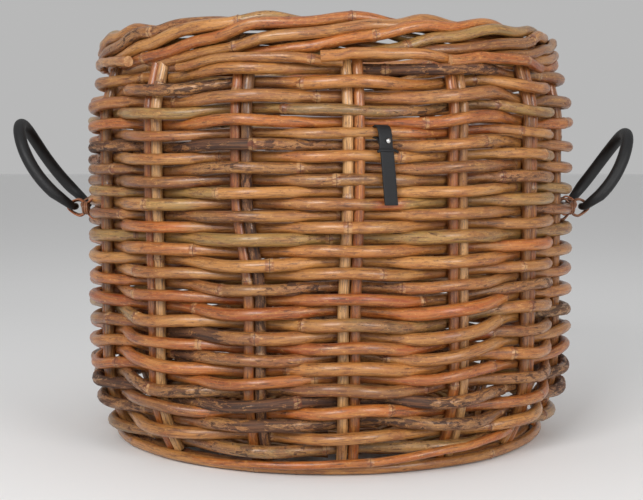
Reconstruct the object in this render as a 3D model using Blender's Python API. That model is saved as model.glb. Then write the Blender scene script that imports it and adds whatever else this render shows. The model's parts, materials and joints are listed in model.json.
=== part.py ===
"""Round wicker log basket: rattan stakes and weavers, rope rim, foot rings, two handles and a leather tag.

Metres, +Z up. The origin is the centre of the footprint, at the surface that the basket stands on.
The front of the basket faces -Y; an azimuth is measured from the front towards +X.
"""

import math

import bmesh
import bpy
from mathutils import Matrix, Vector

# Driving dimensions
WALL_RADIUS = 0.278          # circle of the stake centres at the basket's widest
FOOT_TUCK = 0.026            # how far that circle draws in at the foot
FOOT_SPREAD_HEIGHT = 0.085   # over this height
RIM_TUCK = 0.012             # and how far it draws in under the rim
RIM_TUCK_HEIGHT = 0.045
STAKE_BENDS = (0.015, 0.033, 0.056)  # heights above a stake's end at which its curve at the foot is broken
PAIRS = 15                   # stake pairs; odd, so that each turn of a weaver passes them on the other side
FIRST_PAIR = math.radians(5.15)
STAKE_WIDTH = 0.0115
ROD_WIDTH = 0.0119           # weavers and foot rings
ROWS = 33                    # turns of weaving
ROWS_PER_WEAVER = 3
WEAVER_BUTT_GAP = 0.0050     # between the ends of two weavers, which meet at an angle
START_PAIR = 7               # the weaving starts at the back
FIRST_ROW_LIFT = 0.0038      # of the first row above the ends of the stakes
INSIDE_SHARE = 0.8           # a weaver's distance inside the stakes as a share of the one outside them
CLEARANCE = 0.0003           # between pieces that touch
REACH_TRIALS = 60            # enough for the reach of a weaver to settle
ROD_SIDES_STEP = 1           # bevel resolution of a plain rod
ROUND_SIDES_STEP = 2         # and of a smoother one
SHARP_ANGLE = math.radians(40)

# Rim: a rope border, one lay of rods that goes round seven times, so seven lie side by side
RIM_SET_IN = 0.003           # of its middle line from the ends of the stakes
RIM_TURNS = 7
RIM_TURNS_PER_STRAND = 2
RIM_HUMPS = 20               # times a rod comes up over the top in one turn
RIM_ROD_WIDTH = 0.0112
RIM_HALF_DEPTH = 0.0108
RIM_HALF_HEIGHT = 0.0172
RIM_STEPS = 36               # points in one turn
RIM_BUTT_GAP = 0.0012        # between the ends of two strands

# Base
FOOT_STEPS = 45
BATTEN_WIDTH = 0.022
BATTEN_SPACING = 0.120
BATTENS = 3
BATTEN_CROWN = 0.65          # share of a batten's height that is rounded
PANEL_THICKNESS = 0.0120
PANEL_SIDES = 60

# Handles: a loop of rolled leather with a thin foot at each end, turning in a lashing
HANDLE_PIVOT_HEIGHT = 0.275
HANDLE_WIDTH = 0.0145
HANDLE_LEG_SPACING = 0.106
HANDLE_REACH = 0.115
HANDLE_RISE_AT_FEET = math.radians(44)
HANDLE_RISE_AT_GRIP = math.radians(53)
HANDLE_SQUARENESS = 0.62     # 1 is a round loop, less is squarer
HANDLE_STEPS = 22
HANDLE_FOOT_SETBACK = 0.002
HANDLE_FOOT_WIDTH = 0.0085
HANDLE_FOOT_LENGTH = 0.0170
LASHING_WIDTH = 0.0085
LASHING_THICKNESS = 0.0022
LASHING_SIDES = 16
LASHING_SETBACK = 0.001      # from the end of the handle's foot

# Leather tag, folded over one weaver row beside the front pair
TAG_TURNS_DOWN = 6           # from the top turn of weaving to the one that it hangs on
TAG_ALONG = 0.30             # how far along the rod from the front pair to the next one
TAG_WIDTH = 0.0160
TAG_THICKNESS = 0.0018
TAG_LENGTH = 0.074           # below the rod's centre
TAG_FLAP = 0.016
STUD_RADIUS = 0.0026
STUD_HEIGHT = 0.0014
STUD_TOP = 0.55              # radius of its top as a share of that of its foot
STUD_SIDES = 12
KEEPER_WIDTH = 0.0030
KEEPER_LENGTH = 0.0240
KEEPER_DROP = 0.0190
EYE_STEPS = 12               # in three quarters of a turn of the strap round its rod
TAIL_SETBACK = 0.0002        # of the strap's tail towards the wall

# Values that follow
STAKE_RADIUS = STAKE_WIDTH / 2
ROD_RADIUS = ROD_WIDTH / 2
RIM_ROD_RADIUS = RIM_ROD_WIDTH / 2
PITCH = ROD_WIDTH + CLEARANCE
PAIR_STEP = 2 * math.pi / PAIRS
START_STEP_AT_FRONT = PAIRS - START_PAIR
TAG_TURN = ROWS - TAG_TURNS_DOWN
STAKE_BOTTOM = ROD_WIDTH + CLEARANCE
FIRST_ROW = STAKE_BOTTOM + ROD_RADIUS + FIRST_ROW_LIFT
LAST_ROW = FIRST_ROW + ROWS * PITCH
STAKE_TOP = LAST_ROW + ROD_RADIUS + CLEARANCE
RIM_RADIUS = WALL_RADIUS - RIM_TUCK - RIM_SET_IN
RIM_HEIGHT = STAKE_TOP + CLEARANCE + RIM_ROD_RADIUS + RIM_HALF_HEIGHT
SPREAD_END = STAKE_BOTTOM + FOOT_SPREAD_HEIGHT
DRAW_IN_START = STAKE_TOP - RIM_TUCK_HEIGHT

COLOURS = {
    "honey": (0.50, 0.26, 0.09),
    "russet": (0.42, 0.14, 0.05),
    "olive": (0.30, 0.22, 0.11),
    "bark": (0.13, 0.07, 0.045),
    "leather": (0.016, 0.016, 0.018),
    "cane": (0.34, 0.15, 0.07),
    "steel": (0.62, 0.62, 0.62),
}


def finish(name, roughness=0.5, metallic=0.0):
    if name in bpy.data.materials:
        return bpy.data.materials[name]
    material = bpy.data.materials.new(name)
    material.use_nodes = True
    shader = material.node_tree.nodes["Principled BSDF"]
    shader.inputs["Base Color"].default_value = (*COLOURS[name], 1)
    shader.inputs["Roughness"].default_value = roughness
    shader.inputs["Metallic"].default_value = metallic
    return material


def place(name, data, material):
    piece = bpy.data.objects.new(name, data)
    data.materials.append(material)
    parts.objects.link(piece)
    return piece


def rod(name, points, width, material, sides_step=ROD_SIDES_STEP, closed=False, widths=None):
    curve = bpy.data.curves.new(name, "CURVE")
    curve.dimensions = "3D"
    curve.twist_mode = "Z_UP"
    curve.bevel_depth = width / 2
    curve.bevel_resolution = sides_step
    curve.use_fill_caps = not closed
    spline = curve.splines.new("POLY")
    spline.points.add(len(points) - 1)
    for i, point in enumerate(points):
        spline.points[i].co = (*point, 1)
        if widths:
            spline.points[i].radius = widths[i] / width
    spline.use_cyclic_u = closed
    return place(name, curve, material)


def prism(name, outlines, depth, material):
    """A flat outline, with any hole as a second outline, extruded by depth about its own plane."""
    curve = bpy.data.curves.new(name, "CURVE")
    curve.dimensions = "2D"
    curve.fill_mode = "BOTH"
    curve.extrude = depth / 2
    for outline in outlines:
        spline = curve.splines.new("POLY")
        spline.points.add(len(outline) - 1)
        for i, (x, y) in enumerate(outline):
            spline.points[i].co = (x, y, 0, 1)
        spline.use_cyclic_u = True
    return place(name, curve, material)


def mesh_piece(name, bm, material):
    mesh = bpy.data.meshes.new(name)
    bm.to_mesh(mesh)
    bm.free()
    mesh.shade_smooth()
    mesh.set_sharp_from_angle(angle=SHARP_ANGLE)
    return place(name, mesh, material)


def arc(radius, start, end, steps):
    turns = [start + (end - start) * i / steps for i in range(steps + 1)]
    return [(radius * math.cos(turn), radius * math.sin(turn)) for turn in turns]


def ring(radius, sides):
    return arc(radius, 0, 2 * math.pi * (1 - 1 / sides), sides - 1)


def polar(radius, azimuth, z):
    return Vector((radius * math.sin(azimuth), -radius * math.cos(azimuth), z))


def pair_azimuth(pair):
    return FIRST_PAIR + PAIR_STEP * pair


def wall_radius(z):
    """Radius of the stake circle: drawn in at the foot, straight, and drawn in again under the rim."""
    if z < SPREAD_END:
        return WALL_RADIUS - FOOT_TUCK * ((SPREAD_END - z) / (SPREAD_END - STAKE_BOTTOM)) ** 2
    if z > DRAW_IN_START:
        return WALL_RADIUS - RIM_TUCK * (z - DRAW_IN_START) / (STAKE_TOP - DRAW_IN_START)
    return WALL_RADIUS


def wall_slope(z):
    """Run of the stakes outwards for each unit of height, where they spread from the foot."""
    return 2 * FOOT_TUCK * max(0.0, SPREAD_END - z) / FOOT_SPREAD_HEIGHT ** 2


def pass_reach(side, next_share):
    """How far outside (1) or inside (-1) the stake circle a weaver runs at a pair, to clear both its stakes.

    The weaver is straight from pair to pair. At the next pair it is on the other side, next_share as far off."""
    clear = STAKE_RADIUS + ROD_RADIUS + CLEARANCE
    stake = Vector((STAKE_RADIUS + CLEARANCE / 2, WALL_RADIUS))
    reach = clear
    for _ in range(REACH_TRIALS):
        here = Vector((0, WALL_RADIUS + side * reach))
        next_radius = WALL_RADIUS - side * reach * next_share
        there = Vector((next_radius * math.sin(PAIR_STEP), next_radius * math.cos(PAIR_STEP)))
        gap = abs((there - here).normalized().cross(stake - here))
        reach += max(0.0, clear - gap)
    return reach


OUT_REACH = pass_reach(1, INSIDE_SHARE) + 2 * CLEARANCE
IN_REACH = pass_reach(-1, 1) + CLEARANCE


def weaver_point(step):
    """Where a weaver is at its step-th stake pair, counted from the start of the weaving."""
    z = FIRST_ROW + PITCH * step / PAIRS
    reach = OUT_REACH if step % 2 == 1 else -IN_REACH
    radius = wall_radius(z) + reach * math.hypot(1, wall_slope(z))
    return polar(radius, pair_azimuth(START_PAIR + step), z)


def make_stakes():
    tones = ("honey", "russet", "olive", "honey", "bark", "russet", "honey", "olive")
    lift = STAKE_RADIUS * math.sin(math.atan(wall_slope(STAKE_BOTTOM)))
    bends = [STAKE_BOTTOM + bend for bend in STAKE_BENDS]
    heights = [STAKE_BOTTOM + lift, *bends, SPREAD_END, DRAW_IN_START, STAKE_TOP]
    sideways = STAKE_RADIUS + CLEARANCE / 2
    for pair in range(PAIRS):
        azimuth = pair_azimuth(pair)
        across = Vector((math.cos(azimuth), math.sin(azimuth), 0))
        for hand, offset in (("left", -sideways), ("right", sideways)):
            points = [polar(wall_radius(z), azimuth, z) + across * offset for z in heights]
            tone = tones[(pair * 2 + (hand == "right")) % len(tones)]
            rod(f"stake_{pair + 1:02d}_{hand}", points, STAKE_WIDTH, finish(tone))


def make_weavers():
    tones = ("honey", "olive", "russet")
    steps = ROWS_PER_WEAVER * PAIRS
    for weaver in range(ROWS // ROWS_PER_WEAVER):
        first = weaver * steps
        points = [weaver_point(step) for step in range(first, first + steps + 1)]
        if weaver < ROWS // ROWS_PER_WEAVER - 1:
            last_run = points[-1] - points[-2]
            points[-1] -= last_run.normalized() * WEAVER_BUTT_GAP
        rod(f"weaver_{weaver + 1:02d}", points, ROD_WIDTH, finish(tones[weaver % len(tones)]))


def rim_offset(share):
    """Outwards and upwards from the rim's centre line, at a share of the way round its upright oval section."""
    bend = math.pi * RIM_HALF_DEPTH
    straight = 2 * (RIM_HALF_HEIGHT - RIM_HALF_DEPTH)
    way = (share % 1) * 2 * (bend + straight)
    side, way = (1, way) if way < bend + straight else (-1, way - bend - straight)
    if way < straight:
        return side * RIM_HALF_DEPTH, side * (way - straight / 2)
    turn = (way - straight) / RIM_HALF_DEPTH
    return side * RIM_HALF_DEPTH * math.cos(turn), side * (straight / 2 + RIM_HALF_DEPTH * math.sin(turn))


def rim_point(turns):
    """Where the lay is after some turns about the basket, from the back."""
    out, up = rim_offset(turns * RIM_HUMPS / RIM_TURNS)
    return polar(RIM_RADIUS + out, math.pi + 2 * math.pi * turns, RIM_HEIGHT + up)


def make_rim():
    tones = ("honey", "russet", "honey", "olive")
    margin = RIM_BUTT_GAP / (4 * math.pi * RIM_RADIUS)
    for strand, first in enumerate(range(0, RIM_TURNS, RIM_TURNS_PER_STRAND)):
        turns = min(RIM_TURNS_PER_STRAND, RIM_TURNS - first)
        steps = turns * RIM_STEPS
        points = [rim_point(first + margin + (turns - 2 * margin) * step / steps) for step in range(steps + 1)]
        rod(f"rim_strand_{strand + 1}", points, RIM_ROD_WIDTH, finish(tones[strand]))


def make_foot():
    sideways = ROD_RADIUS + CLEARANCE / 2
    height = ROD_RADIUS * math.cos(math.pi / 6)
    for name, offset, tone in (("foot_ring_outer", sideways, "russet"), ("foot_ring_inner", -sideways, "olive")):
        radius = wall_radius(STAKE_BOTTOM) + offset
        points = [polar(radius, 2 * math.pi * step / FOOT_STEPS, height) for step in range(FOOT_STEPS)]
        rod(name, points, ROD_WIDTH, finish(tone), closed=True)


def make_base():
    room = wall_radius(STAKE_BOTTOM) - ROD_WIDTH - 2 * CLEARANCE
    height = ROD_WIDTH
    for index in range(BATTENS):
        off_centre = (index - (BATTENS - 1) / 2) * BATTEN_SPACING
        length = 2 * math.sqrt(room ** 2 - (abs(off_centre) + BATTEN_WIDTH / 2) ** 2) - 2 * CLEARANCE
        crown = [(BATTEN_WIDTH / 2 * x, height * (1 - BATTEN_CROWN + BATTEN_CROWN * y))
                 for x, y in arc(1, 0, math.pi, 8)]
        outline = [(-BATTEN_WIDTH / 2, 0), (BATTEN_WIDTH / 2, 0)] + crown
        batten = prism(f"base_batten_{index + 1}", [outline], length, finish("olive"))
        lengthways = Matrix(((0, 0, 1), (1, 0, 0), (0, 1, 0))).to_4x4()
        batten.matrix_world = Matrix.Translation((0, off_centre, 0)) @ lengthways
    bottom = height + CLEARANCE
    lowest_pass = min(weaver_point(step).xy.length for step in range(2 * PAIRS))
    panel_radius = lowest_pass * math.cos(PAIR_STEP / 2) - ROD_RADIUS - CLEARANCE
    bm = bmesh.new()
    bmesh.ops.create_cone(bm, cap_ends=True, segments=PANEL_SIDES, radius1=panel_radius, radius2=panel_radius,
                          depth=PANEL_THICKNESS)
    bmesh.ops.translate(bm, verts=bm.verts, vec=(0, 0, bottom + PANEL_THICKNESS / 2))
    mesh_piece("base_panel", bm, finish("honey"))


def handle_pivot():
    """Distance of a handle's axis from the basket's own: its lashings just clear the outermost rods."""
    foot_clear = HANDLE_FOOT_WIDTH / 2 + CLEARANCE + LASHING_THICKNESS
    return WALL_RADIUS + OUT_REACH + ROD_RADIUS + foot_clear + 2 * CLEARANCE


def handle_points():
    """One handle in its own plane: x is away from the basket, y runs along the wall, z is up."""
    half = HANDLE_LEG_SPACING / 2
    foot_end = half - HANDLE_FOOT_LENGTH
    foot_start = half - HANDLE_FOOT_SETBACK
    points = [Vector((0, -foot_end, 0)), Vector((0, -foot_start, 0))]
    widths = [HANDLE_FOOT_WIDTH, HANDLE_FOOT_WIDTH]
    for step in range(1, HANDLE_STEPS):
        turn = math.pi * step / HANDLE_STEPS
        share = math.sin(turn) ** HANDLE_SQUARENESS
        along = HANDLE_REACH * share
        rise = HANDLE_RISE_AT_FEET + (HANDLE_RISE_AT_GRIP - HANDLE_RISE_AT_FEET) * share
        points.append(Vector((along * math.cos(rise), -half * math.cos(turn), along * math.sin(rise))))
        widths.append(HANDLE_WIDTH)
    points += [Vector((0, foot_start, 0)), Vector((0, foot_end, 0))]
    widths += [HANDLE_FOOT_WIDTH, HANDLE_FOOT_WIDTH]
    return points, widths


def make_handles():
    ring_inner = HANDLE_FOOT_WIDTH / 2 + CLEARANCE
    outlines = [ring(ring_inner + LASHING_THICKNESS, LASHING_SIDES), ring(ring_inner, LASHING_SIDES)]
    lashing_y = HANDLE_LEG_SPACING / 2 - HANDLE_FOOT_LENGTH + LASHING_WIDTH / 2 + LASHING_SETBACK
    points, widths = handle_points()
    for side, turn, ends in (("right", 0.0, ("front", "back")), ("left", math.pi, ("back", "front"))):
        pivot = bpy.data.objects.new(f"{side}_handle_pivot", None)
        parts.objects.link(pivot)
        pivot.matrix_world = (Matrix.Rotation(turn, 4, "Z")
                              @ Matrix.Translation((handle_pivot(), 0, HANDLE_PIVOT_HEIGHT)))
        handle = rod(f"{side}_handle", points, HANDLE_WIDTH, finish("leather"), ROUND_SIDES_STEP, widths=widths)
        handle.parent = pivot
        for end, y in zip(ends, (-lashing_y, lashing_y)):
            lashing = prism(f"{side}_lashing_{end}", outlines, LASHING_WIDTH, finish("cane"))
            lashing.parent = pivot
            lashing.location = (0, y, 0)
            lashing.rotation_euler = (math.pi / 2, 0, 0)


def make_tag():
    """The strap's side view is drawn as an outline, x away from the wall and y up, about the rod's centre."""
    first = START_STEP_AT_FRONT + TAG_TURN * PAIRS
    here, there = weaver_point(first), weaver_point(first + 1)
    centre = here.lerp(there, TAG_ALONG)
    along = Vector((there.x - here.x, there.y - here.y, 0)).normalized()
    outward = Vector((along.y, -along.x, 0))
    eye_inner = ROD_RADIUS + 2 * CLEARANCE
    eye_outer = eye_inner + TAG_THICKNESS
    tail = eye_inner - TAIL_SETBACK
    outline = arc(eye_outer, 0, math.pi * 1.5, EYE_STEPS)
    outline += [(tail, -eye_outer), (tail, -TAG_LENGTH), (eye_outer, -TAG_LENGTH)]
    hole = ring(eye_inner, EYE_STEPS + 2)
    frame = Matrix((outward, (0, 0, 1), -along)).transposed().to_4x4()
    hang = Matrix.Translation(centre) @ frame
    pivot = bpy.data.objects.new("tag_pivot", None)
    parts.objects.link(pivot)
    pivot.matrix_world = hang
    strap = prism("tag_strap", [outline, hole], TAG_WIDTH, finish("leather"))
    strap.parent = pivot

    face = eye_outer + CLEARANCE
    bm = bmesh.new()
    bmesh.ops.create_cone(bm, cap_ends=True, segments=STUD_SIDES, radius1=STUD_RADIUS,
                          radius2=STUD_RADIUS * STUD_TOP, depth=STUD_HEIGHT)
    stud = mesh_piece("tag_stud", bm, finish("steel", 0.25, 1.0))
    stud.parent = pivot
    seat = Matrix.Translation((face + STUD_HEIGHT / 2, -TAG_FLAP / 2, 0))
    stud.matrix_local = seat @ Matrix.Rotation(math.pi / 2, 4, "Y")
    half = KEEPER_LENGTH / 2
    keeper = rod("tag_keeper", [(0, 0, -half), (0, 0, half)], KEEPER_WIDTH, finish("leather"))
    keeper.parent = pivot
    keeper.location = (face + KEEPER_WIDTH / 2, -KEEPER_DROP, 0)


for old in list(bpy.data.objects):
    bpy.data.objects.remove(old, do_unlink=True)
parts = bpy.data.collections.new("wicker_log_basket")
bpy.context.scene.collection.children.link(parts)

make_stakes()
make_weavers()
make_rim()
make_foot()
make_base()
make_handles()
make_tag()
bpy.context.view_layer.update()
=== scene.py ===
"""Looks of the round rattan log basket: rods, rope rim, woven base, leather loops and tag."""
import json
import math
import random

import bmesh
import bpy
from mathutils import Matrix, Vector, noise


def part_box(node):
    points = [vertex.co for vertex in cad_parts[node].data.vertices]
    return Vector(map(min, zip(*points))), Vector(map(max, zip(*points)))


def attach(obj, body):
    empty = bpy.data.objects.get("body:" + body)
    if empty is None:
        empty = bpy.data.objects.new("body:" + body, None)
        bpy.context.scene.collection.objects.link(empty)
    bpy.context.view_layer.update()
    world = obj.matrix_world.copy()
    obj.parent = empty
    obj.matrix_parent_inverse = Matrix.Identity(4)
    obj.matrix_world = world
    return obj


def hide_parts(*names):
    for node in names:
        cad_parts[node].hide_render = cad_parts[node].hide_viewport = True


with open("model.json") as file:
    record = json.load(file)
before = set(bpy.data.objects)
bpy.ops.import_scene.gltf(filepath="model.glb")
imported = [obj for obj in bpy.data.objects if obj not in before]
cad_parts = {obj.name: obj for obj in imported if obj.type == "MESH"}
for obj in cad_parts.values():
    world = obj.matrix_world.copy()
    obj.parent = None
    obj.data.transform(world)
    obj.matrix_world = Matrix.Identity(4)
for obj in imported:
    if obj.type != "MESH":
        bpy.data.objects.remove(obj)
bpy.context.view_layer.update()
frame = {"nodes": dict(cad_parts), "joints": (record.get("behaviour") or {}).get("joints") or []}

# Sizes of the weave, in metres. An azimuth is measured from the front (-Y) towards +X.
PAIRS = 15
PAIR_STEP = 2 * math.pi / PAIRS
FIRST_PAIR = math.radians(5.15)
START_PAIR = 7
ROWS = 33
PITCH = 0.0122
ROD_WIDTH = 0.0119
STAKE_WIDTH = 0.0116
WALL_RADIUS = 0.278
FOOT_TUCK = 0.026
RIM_TUCK = 0.012
WEAVE_SWING = 0.0127
WEAVE_PROUD = 0.0012
WEAVE_SAG = 0.0022
NODE_HALF_LENGTH = 0.008
RINGS_AT_NODE = (-0.0076, -0.0046, -0.0026, -0.0013, 0.0, 0.0010, 0.0022, 0.0042, 0.0072)
PATCH_FADE = 0.006

stake_low, stake_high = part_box("stake_01_left")
STAKE_BOTTOM = stake_low[2]
STAKE_TOP = stake_high[2]
SPREAD_END = STAKE_BOTTOM + 0.085
DRAW_IN_START = STAKE_TOP - 0.045
FIRST_ROW = STAKE_BOTTOM + 0.0098

# The tag hangs on the rod of TAG_TURN, which runs through its hinge. The rods behind its strap are set back.
tag_joint = next(joint for joint in frame["joints"] if joint["child"] == "tag")
TAG_PIVOT = Vector(tag_joint["pos_m"])
TAG_AZIMUTH = math.atan2(TAG_PIVOT.x, -TAG_PIVOT.y)
TAG_TURN = ROWS - 6
TAG_SHIFT = 0.0038
ROWS_BEHIND_TAG = 6
ROWS_OVER_TAG = 2
TAG_SET_BACK = 0.0016
TAG_HOLD_REACH = math.radians(10)


# ---------------------------------------------------------------- colour

def tint(red, green, blue):
    """A colour in display values, 0 to 255, as the linear one that shaders use."""
    def channel(value):
        value /= 255
        return value / 12.92 if value <= 0.04045 else ((value + 0.055) / 1.055) ** 2.4
    return Vector((channel(red), channel(green), channel(blue)))


TONES = {
    "honey": tint(172, 116, 60),
    "gold": tint(166, 103, 48),
    "tan": tint(154, 100, 50),
    "olive": tint(138, 108, 58),
    "grey_olive": tint(112, 88, 54),
    "orange": tint(166, 88, 31),
    "russet": tint(144, 66, 21),
    "copper": tint(154, 80, 32),
    "pink": tint(146, 90, 48),
    "brown": tint(112, 66, 34),
    "umber": tint(92, 54, 29),
    "bark": tint(70, 41, 25),
    "cream": tint(214, 163, 106),
}
NEIGHBOURS = {
    "honey": ("gold", "tan", "olive"),
    "gold": ("honey", "orange", "tan"),
    "tan": ("honey", "pink", "brown"),
    "olive": ("grey_olive", "honey", "brown"),
    "grey_olive": ("olive", "brown", "umber"),
    "orange": ("russet", "gold", "copper"),
    "russet": ("orange", "copper", "brown"),
    "copper": ("orange", "pink", "russet"),
    "pink": ("tan", "copper", "brown"),
    "brown": ("pink", "umber", "tan"),
    "umber": ("brown", "bark", "grey_olive"),
    "bark": ("umber", "brown", "bark"),
    "cream": ("honey", "tan", "cream"),
}
BARKINESS = {"bark": 0.56, "umber": 0.42, "brown": 0.30, "grey_olive": 0.28, "pink": 0.16, "olive": 0.16}


# ---------------------------------------------------------------- shader writing

class Wire:
    """A shader value. Sums with it add Math nodes."""

    def __init__(self, shader, socket):
        self.shader = shader
        self.socket = socket

    def math(self, operation, *others, clamp=False):
        values = {0: self}
        values.update({i + 1: other for i, other in enumerate(others)})
        return self.shader.node("ShaderNodeMath", {"operation": operation, "use_clamp": clamp}, values)

    def __add__(self, other):
        return self.math("ADD", other)

    def __sub__(self, other):
        return self.math("SUBTRACT", other)

    def __rsub__(self, other):
        return self.shader.node("ShaderNodeMath", {"operation": "SUBTRACT"}, {0: other, 1: self})

    def __mul__(self, other):
        return self.math("MULTIPLY", other)

    __radd__ = __add__
    __rmul__ = __mul__

    def clamp(self):
        return self.math("ADD", 0.0, clamp=True)

    def above(self, low, high):
        """0 below low, 1 above high, smooth between."""
        return self.shader.node("ShaderNodeMapRange", {"interpolation_type": "SMOOTHSTEP"},
                                {"Value": self, "From Min": low, "From Max": high})

    def near(self, centre, width):
        """1 at centre, 0 at a distance of width and beyond."""
        away = (self - centre).math("ABSOLUTE")
        return 1 - away.above(0.0, width)


class Shader:
    """One Principled material and short ways to add nodes to it."""

    def __init__(self, name, **fixed):
        self.material = bpy.data.materials.new(name)
        self.material.use_nodes = True
        self.tree = self.material.node_tree
        self.surface = self.tree.nodes["Principled BSDF"]
        for socket, value in fixed.items():
            self.surface.inputs[socket.replace("_", " ")].default_value = value

    def put(self, socket, value):
        if isinstance(value, Wire):
            self.tree.links.new(value.socket, socket)
        elif isinstance(value, Vector) and socket.type == "RGBA":
            socket.default_value = (*value, 1)
        else:
            socket.default_value = value

    def node(self, kind, settings=None, inputs=None, output=0):
        made = self.tree.nodes.new(kind)
        for name, value in (settings or {}).items():
            setattr(made, name, value)
        for key, value in (inputs or {}).items():
            self.put(made.inputs[key], value)
        return Wire(self, made.outputs[output])

    def attribute(self, name, output="Color"):
        return self.node("ShaderNodeAttribute", {"attribute_name": name}, output=output)

    def stretch(self, vector, scale):
        return self.node("ShaderNodeVectorMath", {"operation": "MULTIPLY"}, {0: vector, 1: scale})

    def grain(self, vector, detail=3.0, distortion=0.0, roughness=0.55):
        inputs = {"Vector": vector, "Scale": 1.0, "Detail": detail, "Distortion": distortion,
                  "Roughness": roughness}
        return self.node("ShaderNodeTexNoise", None, inputs)

    def mix(self, share, low, high):
        made = self.tree.nodes.new("ShaderNodeMix")
        made.data_type = "RGBA"
        for key, value in ((0, share), (6, low), (7, high)):
            self.put(made.inputs[key], value)
        return Wire(self, made.outputs[2])

    def bump(self, height, distance, strength=1.0):
        inputs = {"Height": height, "Distance": distance, "Strength": strength}
        return self.node("ShaderNodeBump", None, inputs)

    def finish(self, **sockets):
        for socket, value in sockets.items():
            self.put(self.surface.inputs[socket.replace("_", " ")], value)
        return self.material


def lacquered_rattan(name, shine, combed=0.0):
    """Rattan with its skin on: streaks, stains, scuffs, scaly nodes and ragged bark, under a thin lacquer.

    combed is how far the long straight lines of the fibre show over everything else."""
    s = Shader(name, Coat_Roughness=0.17, Coat_IOR=1.5, Specular_IOR_Level=0.5)
    tone = s.attribute("tone")
    bark = s.node("ShaderNodeSeparateColor", None, {0: s.attribute("marks")})
    ring = Wire(s, bark.socket.node.outputs[1])
    fibre = s.attribute("fibre", "Vector")
    line = s.grain(s.stretch(fibre, (9, 1300, 1300)), 2.0)
    dash = s.grain(s.stretch(fibre, (55, 900, 900)), 3.0, 0.15, 0.65)
    streak = s.grain(s.stretch(fibre, (16, 330, 330)), 3.0, 0.3)
    patch = s.grain(s.stretch(fibre, (11, 42, 42)), 3.0, 0.6)
    stain = s.grain(s.stretch(fibre, (34, 110, 110)), 4.0, 0.8)
    flake = s.grain(s.stretch(fibre, (75, 210, 210)), 5.0, 0.6, 0.7)
    speck = s.grain(s.stretch(fibre, (230, 560, 560)), 4.0, 0.3, 0.7)

    colour = s.mix(patch.above(0.50, 0.64) * 0.55, tone, s.mix(0.55, tone, tint(146, 66, 24)))
    colour = s.mix(0.5 - patch.above(0.34, 0.48) * 0.5, colour, s.mix(0.6, colour, tint(176, 134, 78)))
    colour = s.mix(streak.above(0.34, 0.66) * 0.55, colour, s.mix(0.6, colour, tint(204, 144, 74)))
    colour = s.mix(stain.above(0.50, 0.64) * 0.6, colour, s.mix(0.7, colour, tint(116, 56, 26)))
    worn = stain.above(0.36, 0.56) * 0.6 + bark * 0.5
    colour = s.mix(dash.above(0.52, 0.62) * (0.35 + worn * 0.5), colour, tint(64, 34, 18))
    colour = s.mix(speck.above(0.56, 0.66) * worn, colour, tint(60, 34, 20))
    colour = s.mix((0.46 - speck).above(0.04, 0.12) * 0.6, colour, tint(200, 148, 84))
    colour = s.mix(line.above(0.50, 0.60) * combed, colour, tint(74, 42, 24))
    husk = (flake + bark * 0.62).above(0.76, 0.84)
    edge_of_husk = (flake + bark * 0.62).near(0.755, 0.045) * bark.above(0.1, 0.5)
    colour = s.mix(edge_of_husk * 0.55, colour, tint(186, 130, 76))
    colour = s.mix(husk * 0.86, colour, s.mix(streak.above(0.4, 0.6), tint(50, 29, 20), tint(96, 60, 38)))
    scale = (ring + flake * 0.5 - 0.25)
    scaly = s.mix(flake.above(0.42, 0.55), tint(198, 154, 104), tint(108, 48, 24))
    colour = s.mix(scale.above(0.40, 0.60) * 0.6, colour, scaly)
    colour = s.mix(ring.above(0.93, 0.985) * 0.8, colour, tint(54, 27, 17))

    rough = 0.38 + husk * 0.28 + stain * 0.14 - streak * 0.10
    coat = (1 - husk) * shine + dash * 0.10 - worn * 0.16
    height = streak * 0.5 + dash * 0.45 + husk * 0.5 + speck * 0.25 + scale.above(0.4, 0.6) * flake * 0.5
    height = height - line.above(0.50, 0.60) * combed
    return s.finish(Base_Color=colour, Roughness=rough, Coat_Weight=coat.clamp(),
                    Normal=s.bump(height, 0.0008, 0.85))


def cut_end(name):
    """End grain of a sawn rod: pale pith with fine pores."""
    s = Shader(name, Roughness=0.75)
    place = s.node("ShaderNodeTexCoord", output="Object")
    pores = s.grain(s.stretch(place, (1700, 1700, 1700)), 2.0)
    blot = s.grain(s.stretch(place, (260, 260, 260)), 3.0)
    colour = s.mix(blot.above(0.3, 0.7), tint(168, 116, 74), tint(206, 160, 112))
    colour = s.mix(pores.above(0.55, 0.68) * 0.7, colour, tint(92, 54, 34))
    return s.finish(Base_Color=colour, Normal=s.bump(pores, 0.0004, 0.6))


def black_leather(name, colour, scale, shine, crease):
    s = Shader(name, Specular_IOR_Level=0.45)
    place = s.node("ShaderNodeTexCoord", output="Object")
    pebble = s.node("ShaderNodeTexVoronoi", {"feature": "F1"}, {"Vector": place, "Scale": scale})
    fold = s.grain(s.stretch(place, (scale * 0.22,) * 3), 4.0, 1.2)
    wear = s.grain(s.stretch(place, (55, 55, 55)), 3.0, 0.5)
    base = s.mix(wear.above(0.45, 0.75) * 0.5, colour, colour * 1.8)
    base = s.mix(fold.above(0.60, 0.72) * 0.4, base, colour * 2.4)
    height = pebble * -0.5 + fold * crease
    return s.finish(Base_Color=base, Roughness=shine + wear * 0.18 + pebble * 0.1,
                    Normal=s.bump(height, 0.0004, 0.5))


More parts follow.
